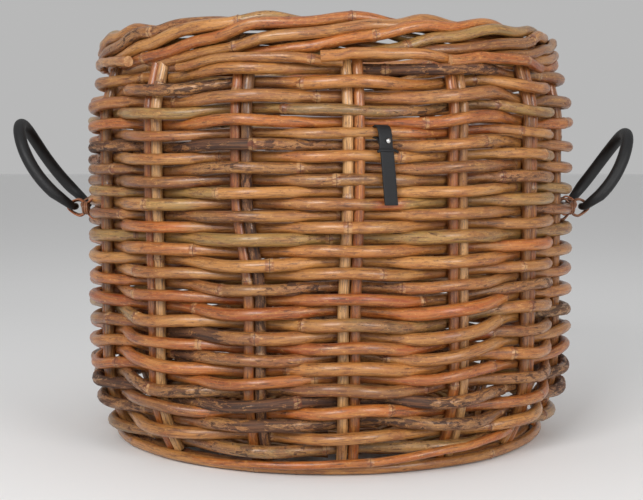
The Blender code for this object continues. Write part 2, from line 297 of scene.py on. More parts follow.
def split_cane(name):
    """Thin split cane, shiny on its skin side, with long fibres."""
    s = Shader(name, Coat_Weight=0.35, Coat_Roughness=0.2)
    tone = s.attribute("tone")
    fibre = s.attribute("fibre", "Vector")
    streak = s.grain(s.stretch(fibre, (40, 1500, 1500)), 3.0)
    stain = s.grain(s.stretch(fibre, (90, 160, 160)), 3.0, 0.6)
    colour = s.mix(streak.above(0.35, 0.7) * 0.5, tone, tint(186, 126, 88))
    colour = s.mix(stain.above(0.55, 0.75) * 0.7, colour, tint(96, 52, 34))
    return s.finish(Base_Color=colour, Roughness=0.42 + stain * 0.15, Normal=s.bump(streak, 0.0003, 0.6))


def polished_metal(name):
    s = Shader(name, Metallic=1.0)
    place = s.node("ShaderNodeTexCoord", output="Object")
    rub = s.grain(s.stretch(place, (700, 700, 700)), 3.0)
    return s.finish(Base_Color=s.mix(rub.above(0.4, 0.8) * 0.5, tint(214, 214, 212), tint(150, 150, 150)),
                    Roughness=0.16 + rub * 0.16, Normal=s.bump(rub, 0.0001, 0.3))


# ---------------------------------------------------------------- rods

def clamped(value):
    return min(1.0, max(0.0, value))


def polar(radius, azimuth, z):
    return Vector((radius * math.sin(azimuth), -radius * math.cos(azimuth), z))


def wobble(a, b, seed):
    return noise.noise(Vector((a, b, seed)))


def wall_radius(z):
    if z < SPREAD_END:
        return WALL_RADIUS - FOOT_TUCK * ((SPREAD_END - z) / (SPREAD_END - STAKE_BOTTOM)) ** 2
    if z > DRAW_IN_START:
        return WALL_RADIUS - RIM_TUCK * (z - DRAW_IN_START) / (STAKE_TOP - DRAW_IN_START)
    return WALL_RADIUS


class Path:
    """A smooth route with its length worked out, read by distance along it."""

    def __init__(self, route, first, last, steps):
        self.params = [first + (last - first) * i / steps for i in range(steps + 1)]
        self.points = [route(p) for p in self.params]
        self.way = [0.0]
        for a, b in zip(self.points, self.points[1:]):
            self.way.append(self.way[-1] + (b - a).length)
        self.length = self.way[-1]
        self.cursor = 0

    def at(self, way):
        """The point at a distance; the distances must be asked for in rising order."""
        while self.cursor < len(self.way) - 2 and self.way[self.cursor + 1] < way:
            self.cursor += 1
        i = self.cursor
        share = (way - self.way[i]) / max(1e-9, self.way[i + 1] - self.way[i])
        return self.points[i].lerp(self.points[i + 1], share)


def node_places(length, dice, spacing=(0.17, 0.36)):
    """Where a rod's nodes are, as distances along it."""
    places, way = [], dice.uniform(0.03, spacing[1])
    while way < length - 0.02:
        places.append(way)
        way += dice.uniform(*spacing)
    return places


def stations_along(length, nodes, step):
    """Distances at which the rod gets a ring of points: even, and close together at each node."""
    count = max(2, round(length / step))
    ways = {round(length * i / count, 5) for i in range(count + 1)}
    for place in nodes:
        ways = {w for w in ways if abs(w - place) > NODE_HALF_LENGTH or w in (0.0, round(length, 5))}
        ways |= {round(place + away, 5) for away in RINGS_AT_NODE if 0.0 < place + away < length}
    return sorted(ways)


def node_swell(away):
    """Share that a node adds to the rod's thickness, at a signed distance from the node."""
    ridge = math.exp(-(away / 0.0016) ** 2) * 0.075
    shoulder = math.exp(-(away / 0.006) ** 2) * 0.045
    groove = math.exp(-((away - 0.0030) / 0.0012) ** 2) * -0.03
    return ridge + shoulder + groove


def rod_tones(nodes, first_tone, dice, change=0.45):
    """One tone for each stretch between nodes."""
    tones = [first_tone]
    for _ in nodes:
        if dice.random() < change:
            tones.append(dice.choice(NEIGHBOURS[tones[-1]]))
        else:
            tones.append(first_tone if dice.random() < 0.5 else tones[-1])
    return tones


def lay_rod(bm, path, width, tone, dice, sides=12, step=0.011, first_turn=None, taper=(1.0, 1.0),
            change=0.45, node_gap=(0.17, 0.36), flat=1.0, patches=()):
    """Adds one closed rod to bm, with its tone, marks and fibre direction kept on its points.

    patches are stretches of another tone, as (first share, last share, tone)."""
    layers = bm.verts.layers
    tone_layer = layers.float_color.get("tone") or layers.float_color.new("tone")
    marks_layer = layers.float_color.get("marks") or layers.float_color.new("marks")
    fibre_layer = layers.float_vector.get("fibre") or layers.float_vector.new("fibre")
    nodes = node_places(path.length, dice, node_gap)
    ways = stations_along(path.length, nodes, step)
    tones = rod_tones(nodes, tone, dice, change)
    seed = dice.uniform(0, 50)
    thickness = [1.0 + dice.uniform(-0.05, 0.05) for _ in tones]
    points = [path.at(way) for way in ways]

    rings = len(ways)
    made = bmesh.ops.create_grid(bm, x_segments=rings - 1, y_segments=sides, size=1)["verts"]
    tangents = [(points[min(i + 1, rings - 1)] - points[max(i - 1, 0)]).normalized() for i in range(rings)]
    side = first_turn or tangents[0].orthogonal()
    frames = []
    for tangent in tangents:
        side = (side - tangent * side.dot(tangent)).normalized()
        frames.append((side.copy(), tangent.cross(side)))

    rows = []
    for i, way in enumerate(ways):
        stretch = sum(1 for place in nodes if place < way)
        nearest = min(nodes, key=lambda place: abs(place - way)) if nodes else 1e3
        away = way - nearest
        swell = node_swell(away) if abs(away) < 0.02 else 0.0
        end_share = way / path.length
        girth = thickness[stretch] * (taper[0] + (taper[1] - taper[0]) * end_share)
        girth *= 1 + swell + 0.03 * wobble(way * 22, 0.0, seed)
        shade = 1.0 + 0.16 * wobble(way * 9, 3.0, seed) + 0.08 * wobble(way * 40, 6.0, seed)
        colour, husk = TONES[tones[stretch]], BARKINESS.get(tones[stretch], 0.06)
        for first, last, new in patches:
            share = clamped(min(end_share - first, last - end_share) / PATCH_FADE)
            colour = colour.lerp(TONES[new], share)
            husk += (BARKINESS.get(new, 0.06) - husk) * share
        bark = husk + 0.34 * wobble(way * 7, 9.0, seed)
        closeness = max(0.0, 1 - abs(away) / NODE_HALF_LENGTH)
        colour = colour * shade
        rows.append((girth * width / 2, colour, clamped(bark), closeness))

    for index, vert in enumerate(made):
        i, j = index % rings, index // rings
        angle = 2 * math.pi * j / sides
        radius, colour, bark, closeness = rows[i]
        out, over = frames[i]
        oval = 1 + 0.025 * math.cos(2 * angle + seed)
        vert.co = points[i] + (out * math.cos(angle) * flat + over * math.sin(angle)) * radius * oval
        vert[tone_layer] = (*colour, 1)
        vert[marks_layer] = (bark, closeness, 0, 1)
        vert[fibre_layer] = (ways[i] + seed, math.cos(angle) * radius, math.sin(angle) * radius)

    seam = [v for k, v in enumerate(made) if k // rings in (0, sides)]
    bmesh.ops.remove_doubles(bm, verts=seam, dist=1e-6)
    alive = [v for v in made if v.is_valid]
    edges = {e for v in alive for e in v.link_edges if e.is_boundary}
    capped = bmesh.ops.holes_fill(bm, edges=list(edges), sides=0)["faces"]
    for cap in capped:
        cap.material_index = 1
        cap.smooth = False


def rod_piece(name, bm, material, stands_for=()):
    bmesh.ops.recalc_face_normals(bm, faces=bm.faces)
    for face in bm.faces:
        face.smooth = face.material_index == 0
    for edge in bm.edges:
        if any(face.material_index == 1 for face in edge.link_faces):
            edge.smooth = False
    show(name, bm, [material, sawn], "root", stands_for)


def show(name, bm, materials, body, stands_for):
    mesh = bpy.data.meshes.new(name)
    bm.to_mesh(mesh)
    bm.free()
    for material in materials:
        mesh.materials.append(material)
    piece = bpy.data.objects.new(name, mesh)
    bpy.context.scene.collection.objects.link(piece)
    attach(piece, body)
    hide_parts(*stands_for)


# ---------------------------------------------------------------- stakes

def stake_lean(pair, z):
    """How far a pair stands to one side, in metres: real stakes are sprung by the weaving."""
    low = clamped((0.30 - z) / 0.12)
    chosen = {14: 0.014 * low * low * (3 - 2 * low), 0: -0.003 * low, 1: 0.002 * low, 13: 0.005 * low}
    pair %= PAIRS
    drift = 0.0020 * wobble(z * 5, pair * 3.1, 4.0)
    return chosen.get(pair, 0.004 * wobble(pair * 7.3, 1.0, 2.0) * low) + drift


def pair_azimuth(pair, z):
    return FIRST_PAIR + PAIR_STEP * pair + stake_lean(pair, z) / WALL_RADIUS


STAKE_TONES = {
    0: ("cream", "orange"), 1: ("orange", "cream"), 2: ("gold", "orange"), 3: ("orange", "gold"),
    4: ("honey", "russet"), 5: ("tan", "brown"), 6: ("olive", "orange"), 7: ("copper", "honey"),
    8: ("tan", "umber"), 9: ("gold", "pink"), 10: ("russet", "tan"), 11: ("orange", "copper"),
    12: ("orange", "tan"), 13: ("orange", "cream"), 14: ("orange", "umber"),
}


def make_stakes():
    for pair in range(PAIRS):
        bm = bmesh.new()
        for hand, offset in (("left", -1), ("right", 1)):
            dice = random.Random(100 + 2 * pair + (hand == "right"))
            spread = STAKE_WIDTH * 0.5 + 0.0002

            def route(z, offset=offset, spread=spread, seed=dice.uniform(0, 9)):
                azimuth = pair_azimuth(pair, z)
                across = Vector((math.cos(azimuth), math.sin(azimuth), 0))
                sway = spread + 0.0007 * wobble(z * 14, offset, seed)
                depth = 0.0008 * wobble(z * 11, 5.0, seed)
                return polar(wall_radius(z) + depth, azimuth, z) + across * offset * sway

            low = STAKE_BOTTOM - 0.0010 + dice.uniform(0, 0.002)
            path = Path(route, low, STAKE_TOP + 0.004, 90)
            lay_rod(bm, path, STAKE_WIDTH, STAKE_TONES[pair][hand == "right"], dice, change=0.25,
                    first_turn=-polar(1, pair_azimuth(pair, 0), 0))
        rod_piece(f"stake_pair_{pair + 1:02d}", bm, stake_rattan,
                  stands_for=(f"stake_{pair + 1:02d}_left", f"stake_{pair + 1:02d}_right"))


# ---------------------------------------------------------------- weavers

# The tone of each row where it crosses the front, from the foot up
ROW_TONES = (
    "olive", "honey", "umber", "orange", "bark", "umber", "orange", "gold", "brown", "copper", "bark",
    "grey_olive", "russet", "orange", "pink", "tan", "gold", "gold", "olive", "tan", "brown",
    "tan", "olive", "brown", "brown", "honey", "umber", "pink", "orange", "olive", "pink", "gold", "brown",
)


# Where the rows stray, in turns, and how far, in metres: everywhere, more when loose, more when high
LOOSE_BELOW = 18
LOOSE_FADE = 9
HIGH_ABOVE = 26
HIGH_FADE = 4
SLANT_BELOW = 14
SLANT_FADE = 8
SHARED_STRAY = (0.0034, 0.0084, 0.0050)
OWN_STRAY = (0.0018, 0.0028, 0.0026)


def row_height(turns, azimuth, crossing):
    """Height of the weaving after some turns. It strays most at a pair, and in the loose lower courses."""
    loose = clamped((LOOSE_BELOW - turns) / LOOSE_FADE)
    high = clamped((turns - HIGH_ABOVE) / HIGH_FADE)
    front = 0.4 + 0.6 * clamped(0.5 + math.cos(azimuth))
    rise_to_rim = 0.0045 * high * high * max(0.0, turns - 30) / 3
    sink_to_foot = 0.0030 * max(0.0, 1 - turns / 3)
    z = FIRST_ROW + PITCH * turns + rise_to_rim - sink_to_foot
    shared = wobble(2.4 * math.cos(azimuth), 2.4 * math.sin(azimuth), 11.0 + turns * 0.13)
    shared *= SHARED_STRAY[0] + SHARED_STRAY[1] * loose + SHARED_STRAY[2] * high
    own_reach = 0.0005 + crossing * (OWN_STRAY[0] + OWN_STRAY[1] * loose + OWN_STRAY[2] * high)
    own = wobble(azimuth * 3.5, turns * 3.7, 31.0) * own_reach
    settle = min(1.0, turns / 2.5) * min(1.0, max(0.0, ROWS - turns) / 1.5 + 0.2)
    slant = 0.0050 * min(1.0, turns / 3) * clamped((SLANT_BELOW - turns) / SLANT_FADE)
    slant *= max(0.0, math.sin(azimuth))
    return z + (shared + own) * settle * front + slant


def drawn_to_tag(row, azimuth, radius, z):
    """Sets the rows round the tag back behind its strap, and draws its own rod through the hinge."""
    if not TAG_TURN - ROWS_BEHIND_TAG <= row <= TAG_TURN + ROWS_OVER_TAG:
        return radius, z
    away = (azimuth - TAG_AZIMUTH + math.pi) % (2 * math.pi) - math.pi
    hold = 1 / (1 + (away / TAG_HOLD_REACH) ** 4)
    radius += (min(radius, TAG_PIVOT.xy.length - TAG_SET_BACK) - radius) * hold
    if row == TAG_TURN:
        z += (TAG_PIVOT.z - z) * hold
        radius += (TAG_PIVOT.xy.length - radius) * hold
    return radius, z


def weaver_route(step):
    """The weave's centre line at a number of stake pairs from its start, at the back."""
    turns = step / PAIRS
    z = FIRST_ROW + PITCH * turns
    crossing = abs(math.cos(math.pi * step))
    low = math.floor(step)
    here = pair_azimuth(START_PAIR + low, z)
    there = pair_azimuth(START_PAIR + low + 1, z)
    azimuth = here + (there - here) * (step - low)
    swing = -math.cos(math.pi * step)
    z = row_height(turns, azimuth, crossing)
    proud = 0.0009 * wobble(azimuth * 2.0, turns * 2.9, 51.0) - WEAVE_SAG * (1 - crossing)
    radius = wall_radius(z) + WEAVE_PROUD + proud + WEAVE_SWING * swing
    radius, z = drawn_to_tag(int(turns), azimuth, radius, z)
    return polar(radius, azimuth, z)


# The lower rows are thicker, and a few rows have a width of their own
THICK_ROWS = 19
CHOSEN_WIDTHS = {12: 0.0143, 7: 0.0140, 10: 0.0136, 5: 0.0138, 25: 0.0128, 17: 0.0132, TAG_TURN: 0.0104}


def row_width(row):
    dice = random.Random(900 + row)
    usual = dice.uniform(0.0127, 0.0138) if row < THICK_ROWS else dice.uniform(0.0119, 0.0130)
    return CHOSEN_WIDTHS.get(row, usual)


def row_start(row):
    """The step at which a row's rod begins: at the back or a side, where the weave is behind a pair."""
    if row in (0, ROWS):
        return row * PAIRS
    step = row * PAIRS + row * 7 % 11 - 5
    return step + step % 2


def row_patches(row):
    """The row's stretches of another tone, as shares of its rod's length."""
    first, last = row_start(row), row_start(row + 1)
    found = []
    for place, start, end, tone in ROW_PATCHES:
        if place == row:
            steps = [row * PAIRS + PAIRS - START_PAIR + (math.radians(azimuth) - FIRST_PAIR) / PAIR_STEP
                     for azimuth in (start, end)]
            found.append(((steps[0] - first) / (last - first), (steps[1] - first) / (last - first), tone))
    return found


# Stretches of rows in another tone: the row, the azimuths in degrees between which it shows, and the tone
ROW_PATCHES = (
    (32, 6, 44, "bark"), (31, -46, -8, "brown"), (29, -60, -20, "olive"), (28, -36, 2, "orange"),
    (27, 14, 40, "russet"), (26, 17, 60, "honey"), (25, -12, 12, "gold"), (21, 8, 17, "russet"),
    (21, -30, 8, "pink"), (20, -50, -14, "umber"), (19, -56, -30, "orange"), (16, -30, 30, "honey"),
    (12, -44, 2, "russet"), (11, 2, 44, "grey_olive"), (10, -46, -22, "bark"), (9, -14, 8, "russet"),
    (5, -40, -6, "umber"), (4, 20, 50, "umber"), (3, -62, -30, "brown"), (2, -20, 16, "bark"),
    (1, -50, -6, "tan"),
)


def make_weavers():
    rows_per_node = 3
    for weaver in range(ROWS // rows_per_node):
        bm = bmesh.new()
        for row in range(weaver * rows_per_node, (weaver + 1) * rows_per_node):
            dice = random.Random(300 + row)
            path = Path(weaver_route, row_start(row) + 0.012, row_start(row + 1) - 0.012, 420)
            lay_rod(bm, path, row_width(row), ROW_TONES[row], dice, first_turn=Vector((0, 1, 0)),
                    patches=row_patches(row))
        rod_piece(f"weaver_rods_{weaver + 1:02d}", bm, rattan, stands_for=(f"weaver_{weaver + 1:02d}",))


# ---------------------------------------------------------------- rim and foot

RIM_RADIUS = 0.263
RIM_TURNS = 7
RIM_TURNS_PER_STRAND = 2
RIM_HUMPS = 20
RIM_ROD_WIDTH = 0.0124
RIM_HALF_DEPTH = 0.0108
RIM_HALF_HEIGHT = 0.0172
RIM_HEIGHT = STAKE_TOP + 0.0006 + 0.0056 + RIM_HALF_HEIGHT


def rim_offset(share):
    """How far out and up from the rim's centre line, at a share of the way round its oval section."""
    bend = math.pi * RIM_HALF_DEPTH
    straight = 2 * (RIM_HALF_HEIGHT - RIM_HALF_DEPTH)
    way = (share % 1) * 2 * (bend + straight)
    side, way = (1, way) if way < bend + straight else (-1, way - bend - straight)
    if way < straight:
        return side * RIM_HALF_DEPTH, side * (way - straight / 2)
    turn = (way - straight) / RIM_HALF_DEPTH
    return side * RIM_HALF_DEPTH * math.cos(turn), side * (straight / 2 + RIM_HALF_DEPTH * math.sin(turn))


def rim_route(turns):
    around = math.pi + 2 * math.pi * turns
    ring_x, ring_y = math.cos(around), math.sin(around)
    stray = wobble(ring_x * 2.4, ring_y * 2.4, 60 + turns * 0.9)
    out, up = rim_offset(turns * RIM_HUMPS / RIM_TURNS + 0.07 * stray)
    swell = 1 + 0.24 * wobble(ring_x * 2.9, ring_y * 2.9, 64 + turns * 0.8)
    sway = 0.0016 * wobble(ring_x * 2.1, ring_y * 2.1, 70 + turns * 0.2)
    lift = 0.0030 * wobble(ring_x * 1.9, ring_y * 1.9, 80 + turns * 0.15)
    hump = math.cos(2 * math.pi * (RIM_HUMPS * turns + 0.07 * RIM_TURNS * stray - 0.233))
    lift += 0.0021 * hump * (0.6 + 0.4 * up / RIM_HALF_HEIGHT)
    return polar(RIM_RADIUS + out * swell + sway, around, RIM_HEIGHT + up * swell + lift)


RIM_TONES = ("tan", "copper", "gold", "orange", "olive", "tan", "brown")


def make_rim():
    for strand, first in enumerate(range(0, RIM_TURNS, RIM_TURNS_PER_STRAND)):
        bm = bmesh.new()
        for turn in range(first, min(first + RIM_TURNS_PER_STRAND, RIM_TURNS)):
            dice = random.Random(500 + turn)
            path = Path(rim_route, turn + 0.0006, turn + 0.9994, 520)
            lay_rod(bm, path, RIM_ROD_WIDTH, RIM_TONES[turn], dice, step=0.008, node_gap=(0.2, 0.42))
        rod_piece(f"rim_rods_{strand + 1}", bm, rattan,
                  stands_for=(f"rim_strand_{strand + 1}",))


def spline_route(azimuths, radii, heights, seed):
    """A springy route round the basket through a few places, for a parameter from 0 to 1."""
    def route(share):
        place = share * (len(azimuths) - 1)
        low = min(len(azimuths) - 2, int(place))
        part = place - low
        ease = part * part * (3 - 2 * part)
        azimuth = math.radians(azimuths[low] + (azimuths[low + 1] - azimuths[low]) * part)
        radius = radii[low] + (radii[low + 1] - radii[low]) * ease + 0.0008 * wobble(share * 9, 1.0, seed)
        z = heights[low] + (heights[low + 1] - heights[low]) * ease + 0.0008 * wobble(share * 9, 5.0, seed)
        return polar(radius, azimuth, z)
    return route


# Loose ends tucked in below the rim: azimuths in degrees, radii, heights, tone and width from end to end
TUCKED_RODS = (
    ((-1.5, 6, 20, 31), (0.2850, 0.2822, 0.2805, 0.2740), (0.4335, 0.4372, 0.4378, 0.4310),
     "gold", (1.0, 0.9)),
    ((-50, -57, -70, -84), (0.2840, 0.2818, 0.2800, 0.2740), (0.4375, 0.4400, 0.4430, 0.4400),
     "honey", (1.0, 0.8)),
    ((-35, -22, -10, 3), (0.2760, 0.2825, 0.2825, 0.2750), (0.4270, 0.4345, 0.4340, 0.4290),
     "tan", (0.8, 0.9)),
    ((26, 36, 48, 60), (0.2842, 0.2815, 0.2812, 0.2750), (0.4320, 0.4375, 0.4385, 0.4330),
     "orange", (1.0, 0.9)),
    ((120, 132, 150, 166), (0.2840, 0.2818, 0.2812, 0.2740), (0.4330, 0.4375, 0.4380, 0.4320),
     "tan", (1.0, 0.9)),
    ((195, 206, 222, 238), (0.2760, 0.2820, 0.2815, 0.2745), (0.4290, 0.4370, 0.4375, 0.4310),
     "brown", (0.9, 1.0)),
)
TUCKED_ROD_WIDTH = 0.0122
# A rod wound up from the foot, outside the ends of the stakes. It comes again at each angle, in degrees,
# that FOOT_WRAP_TONES gives.
FOOT_WRAP = ((-34, -12, 8, 28, 42, 52), (0.2600, 0.2690, 0.2735, 0.2790, 0.2720, 0.2600),
             (0.0075, 0.0120, 0.0165, 0.0255, 0.0285, 0.0285))
FOOT_WRAP_WIDTH = 0.0112
FOOT_ROD_WIDTH = 0.0116
FOOT_ROD_OFFSET = 0.0061
FOOT_WRAP_TONES = ((0, "orange"), (144, "brown"), (216, "tan"))


def make_tucked_rods():
    bm = bmesh.new()
    for index, (azimuths, radii, heights, tone, taper) in enumerate(TUCKED_RODS):
        path = Path(spline_route(azimuths, radii, heights, 90.0 + index), 0, 1, 60)
        lay_rod(bm, path, TUCKED_ROD_WIDTH, tone, random.Random(560 + index), step=0.006, taper=taper,
                node_gap=(0.05, 0.2))
    rod_piece("rim_tucked_ends", bm, rattan)


def make_foot():
    for name, offset, tone, seed in (("outer", 1, "tan", 1), ("inner", -1, "brown", 2)):
        bm = bmesh.new()
        radius = wall_radius(STAKE_BOTTOM) + offset * FOOT_ROD_OFFSET

        def route(turn, radius=radius, seed=seed):
            sway = 0.0016 * wobble(math.cos(turn) * 3, math.sin(turn) * 3, seed * 5.0)
            return polar(radius + sway, turn, FOOT_ROD_WIDTH / 2 + 0.0008)

        dice = random.Random(700 + seed)
        path = Path(route, math.pi + 0.002, 3 * math.pi - 0.002, 300)
        lay_rod(bm, path, FOOT_ROD_WIDTH * 0.96, tone, dice, first_turn=Vector((0, 0, 1)))
        rod_piece(f"foot_rod_{name}", bm, rattan, stands_for=(f"foot_ring_{name}",))
    bm = bmesh.new()
    azimuths, radii, heights = FOOT_WRAP
    for turned, tone in FOOT_WRAP_TONES:
        route = spline_route([azimuth + turned for azimuth in azimuths], radii, heights, 95.0 + turned)
        lay_rod(bm, Path(route, 0, 1, 120), FOOT_WRAP_WIDTH, tone, random.Random(580 + turned), step=0.009,
                taper=(0.7, 0.9))
    rod_piece("foot_wrapping", bm, rattan)


# ---------------------------------------------------------------- base

SPOKES = 21
BASE_CANE_WIDTH = 0.0078
BASE_CANE_THICKNESS = 0.0036
HUB_RADIUS = 0.034
HUB_COIL_PITCH = 0.0058
HUB_COIL_TURNS = 5.2
BASE_OVERHANG = 0.008


def make_base():
    low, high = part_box("base_panel")
    middle = (low[2] + high[2]) / 2
    reach = high[0] - 0.0005
    swing = BASE_CANE_THICKNESS * 0.98
    bm = bmesh.new()
    dice = random.Random(40)
    for spoke in range(SPOKES):
        azimuth = 2 * math.pi * spoke / SPOKES
        path = Path(lambda r: polar(r, azimuth, middle), 0.020, reach, 20)
        lay_rod(bm, path, BASE_CANE_THICKNESS, "tan", dice, sides=8, step=0.02, node_gap=(0.5, 0.9))
    rod_piece("base_spokes", bm, dull_rattan, stands_for=("base_panel",))

    bm = bmesh.new()
    turns = int((reach + BASE_OVERHANG - HUB_RADIUS - BASE_CANE_WIDTH / 2) / BASE_CANE_WIDTH)
    tones = ("tan", "gold", "olive", "brown", "honey")

    def weave(turn):
        step = turn * SPOKES
        z = middle + swing * math.cos(math.pi * step)
        return polar(HUB_RADIUS + BASE_CANE_WIDTH * (turn + 0.5), 2 * math.pi * turn, z)

    for turn in range(turns):
        path = Path(weave, turn, turn + 1, 168)
        lay_rod(bm, path, BASE_CANE_WIDTH, tones[turn % len(tones)], dice, sides=8, step=0.006,
                first_turn=Vector((0, 0, 1)), node_gap=(0.3, 0.6), flat=0.46)
    rod_piece("base_weaving", bm, dull_rattan)

    bm = bmesh.new()

    def hub(turn):
        return polar(0.003 + HUB_COIL_PITCH * turn, 2 * math.pi * turn, middle + BASE_CANE_THICKNESS * 0.9)

    lay_rod(bm, Path(hub, 0, HUB_COIL_TURNS, 200), 0.0054, "brown", dice, sides=8, step=0.006,
            node_gap=(0.5, 0.9), flat=0.6, first_turn=Vector((0, 0, 1)))
    rod_piece("base_hub", bm, dull_rattan)


def make_battens():
    for index in (1, 2, 3):
        materials = frame["nodes"][f"base_batten_{index}"].data.materials
        materials.clear()
        materials.append(batten_cane)


# ---------------------------------------------------------------- handles

HANDLE_WIDTH = 0.0146
HANDLE_LEG_SPACING = 0.106
HANDLE_REACH = {"left": 0.124, "right": 0.107}
HANDLE_RISE_AT_FEET = {"left": math.radians(35), "right": math.radians(42)}
HANDLE_RISE_AT_GRIP = {"left": math.radians(54), "right": math.radians(56)}
HANDLE_SQUARENESS = 0.62
HANDLE_SKEW = {"left": -0.002, "right": 0.006}
HANDLE_FOOT_WIDTH = 0.0085
HANDLE_FOOT_LENGTH = 0.0170


def loop_point(side, turn):
    """The leather loop's centre line in its own plane, from one leg to the other."""
    half = HANDLE_LEG_SPACING / 2
    share = max(0.0, math.sin(turn)) ** HANDLE_SQUARENESS
    along = HANDLE_REACH[side] * share
    low, high = HANDLE_RISE_AT_FEET[side], HANDLE_RISE_AT_GRIP[side]
    rise = low + (high - low) * share
    skew = -HANDLE_SKEW[side] * math.cos(turn) * 4 * share * (1 - share)
    return Vector((along * math.cos(rise), -half * math.cos(turn), along * math.sin(rise) + skew))


def make_handle(side, turn_about):
    joint = next(j for j in frame["joints"] if j["child"] == f"{side}_handle")
    pivot = Vector(joint["pos_m"])
    place = Matrix.Translation(pivot) @ Matrix.Rotation(turn_about, 4, "Z")
    half = HANDLE_LEG_SPACING / 2
    foot_end = half - HANDLE_FOOT_LENGTH
    spine = [Vector((0, -foot_end, 0)), Vector((0, -half + 0.009, 0))]
    spine.append(Vector((0.0008, -half + 0.0035, 0.0004)))
    girths = [HANDLE_FOOT_WIDTH, HANDLE_FOOT_WIDTH, HANDLE_FOOT_WIDTH * 1.12]
    steps = 64
    for step in range(2, steps - 1):
        spine.append(loop_point(side, math.pi * step / steps))
        girths.append(HANDLE_WIDTH * min(1.0, 0.88 + 0.05 * min(step, steps - step)))
    spine += [Vector((p.x, -p.y, p.z)) for p in reversed(spine[:3])]
    girths += list(reversed(girths[:3]))

    bm = bmesh.new()
    sides, rings = 28, len(spine)
    made = bmesh.ops.create_grid(bm, x_segments=rings - 1, y_segments=sides, size=1)["verts"]
    across = Vector((0, 0, 1))
    frames = []
    for i in range(rings):
        tangent = (spine[min(i + 1, rings - 1)] - spine[max(i - 1, 0)]).normalized()
        across = (across - tangent * across.dot(tangent)).normalized()
        frames.append((across.copy(), tangent.cross(across)))
    for index, vert in enumerate(made):
        i, j = index % rings, index // rings
        angle = 2 * math.pi * j / sides
        away = min(abs(angle - 1.1 * math.pi), 2 * math.pi - abs(angle - 1.1 * math.pi))
        seam = 1 - 0.075 * math.exp(-(away / 0.13) ** 2) + 0.02 * math.exp(-((away - 0.36) / 0.15) ** 2)
        lumps = 1 + 0.018 * wobble(i * 0.33, math.cos(angle) * 0.8, 7.0 + math.sin(angle) * 0.8)
        out, over = frames[i]
        vert.co = spine[i] + (out * math.cos(angle) + over * math.sin(angle)) * girths[i] / 2 * seam * lumps
    bmesh.ops.remove_doubles(bm, verts=bm.verts, dist=1e-6)
    bmesh.ops.holes_fill(bm, edges=[e for e in bm.edges if e.is_boundary], sides=0)
    bmesh.ops.recalc_face_normals(bm, faces=bm.faces)
    bmesh.ops.transform(bm, matrix=place, verts=bm.verts)
    for face in bm.faces:
        face.smooth = True
    body = f"{side}_handle"
    show(f"{side}_leather_loop", bm, [handle_leather], body, (body,))


CANE_STRIP = 0.0026
LASHING_TURNS = 4
# The waist is the place between the loop's foot and the wall where the turns are drawn together
LASHING_WAIST = 0.0138
WAIST_TURNS = 3


def make_lashing(side, end):
    """Turns of split cane round the loop's foot and the rods behind it, bound together at the waist."""
    low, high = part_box(f"{side}_lashing_{end}")
    centre = Vector([(a + b) / 2 for a, b in zip(low, high)])
    outward = 1 if centre.x > 0 else -1
    bm = bmesh.new()
    for turn in range(LASHING_TURNS):
        dice = random.Random(f"{side}{end}{turn}")
        y = centre.y * 0.93 + (turn - (LASHING_TURNS - 1) / 2) * CANE_STRIP * 0.92
        reach, tall = dice.uniform(0.0190, 0.0225), dice.uniform(0.0050, 0.0130)
        tilt, proud = dice.uniform(-0.0012, 0.0012), dice.uniform(0.0008, 0.0028)

        def route(angle, y=y, tilt=tilt, reach=reach, tall=tall, proud=proud):
            inside = (1 - math.cos(angle)) / 2
            inward = 2 * reach * inside - 0.0064 - proud
            pinch = 0.9 * math.exp(-((inward - LASHING_WAIST) / 0.0062) ** 2)
            half = 0.0068 + proud + tall * inside
            half += (0.0050 - half) * pinch
            across = (y - centre.y + tilt * math.sin(angle + 0.6)) * (1 - 0.4 * pinch)
            z = centre.z - 0.0040 * inside + math.sin(angle) * half
            return Vector((centre.x - outward * inward, centre.y + across, z))

        start = 0.15 * turn
        path = Path(route, start, 2 * math.pi + start - 0.02, 80)
        lay_rod(bm, path, CANE_STRIP, dice.choice(("copper", "brown", "umber")), dice, sides=8, step=0.0022,
                node_gap=(0.5, 0.9), flat=0.80, first_turn=Vector((outward, 0, 0)))

    for turn in range(WAIST_TURNS):
        x = centre.x - outward * (LASHING_WAIST + (turn - (WAIST_TURNS - 1) / 2) * CANE_STRIP * 0.92)

        def waist(angle, x=x):
            return Vector((x + outward * 0.0007 * math.sin(angle), centre.y + 0.0082 * math.cos(angle),
                           centre.z - 0.0020 + 0.0072 * math.sin(angle)))

        start = 0.3 * turn
        path = Path(waist, start, 2 * math.pi + start - 0.02, 60)
        lay_rod(bm, path, CANE_STRIP, ("umber", "brown")[turn % 2], dice, sides=8, step=0.0022,
                node_gap=(0.5, 0.9), flat=0.70, first_turn=Vector((0, 1, 0)))
    bmesh.ops.recalc_face_normals(bm, faces=bm.faces)
    for face in bm.faces:
        face.smooth = len(face.verts) == 4
    show(f"{side}_cane_lashing_{end}", bm, [cane], "root", (f"{side}_lashing_{end}",))


# ---------------------------------------------------------------- tag

TAG_WIDTH = 0.0158
STRAP_THICKNESS = 0.0017
THONG_LENGTH = 0.0245
THONG_WIDTH = 0.0028


# The tag's own frame has x outwards from the wall, y up and z along its rod.
# TAG_EYE is how far from the hinge the strap is drawn, before it is given its thickness.
TAG_EYE = ROD_WIDTH / 2 + 0.0006 + STRAP_THICKNESS / 2


def tag_place():
    along = Vector(tag_joint["axis"]).normalized()
    outward = Vector((-along.y, along.x, 0))
    turned = Matrix((outward, (0, 0, 1), outward.cross(Vector((0, 0, 1))))).transposed().to_4x4()
    return Matrix.Translation(TAG_PIVOT + along * TAG_SHIFT) @ turned


